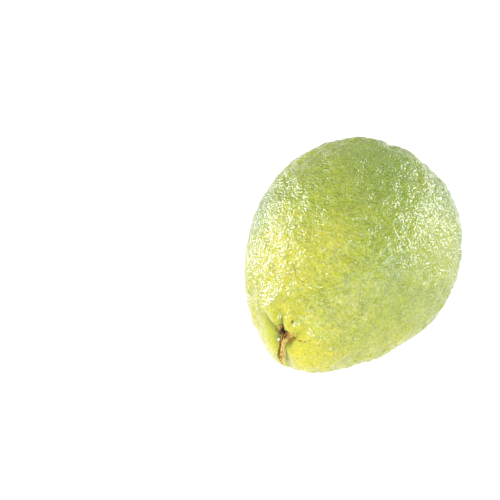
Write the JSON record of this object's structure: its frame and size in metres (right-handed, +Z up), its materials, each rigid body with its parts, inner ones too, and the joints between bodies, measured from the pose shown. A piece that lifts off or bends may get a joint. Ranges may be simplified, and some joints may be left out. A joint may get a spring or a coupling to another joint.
{
  "type": "guava",
  "caption": "Whole guava lying on its side: pear-shaped fruit with a pebbled green-yellow skin, a lobed stem end holding the torn stalk, and a dried calyx at the broad end.",
  "frame": {"origin": "middle of the small flat spot that the fruit rests on", "axes": "+Z up; Y along the fruit, with the stem end towards -Y and the blossom end towards +Y; +X to the right seen from the stem end"},
  "size_m": [0.082, 0.1045, 0.0849],
  "materials": {
    "skin": "waxy, finely pebbled skin, green on top and yellow at the stem end",
    "stalk": "dry torn fibres, dark brown to tan",
    "calyx": "dry, papery and dull"
  },
  "bodies": {
    "root": {"guava_fruit": "skin", "stalk_end": "stalk", "calyx": "calyx"}
  },
  "joints": []
}
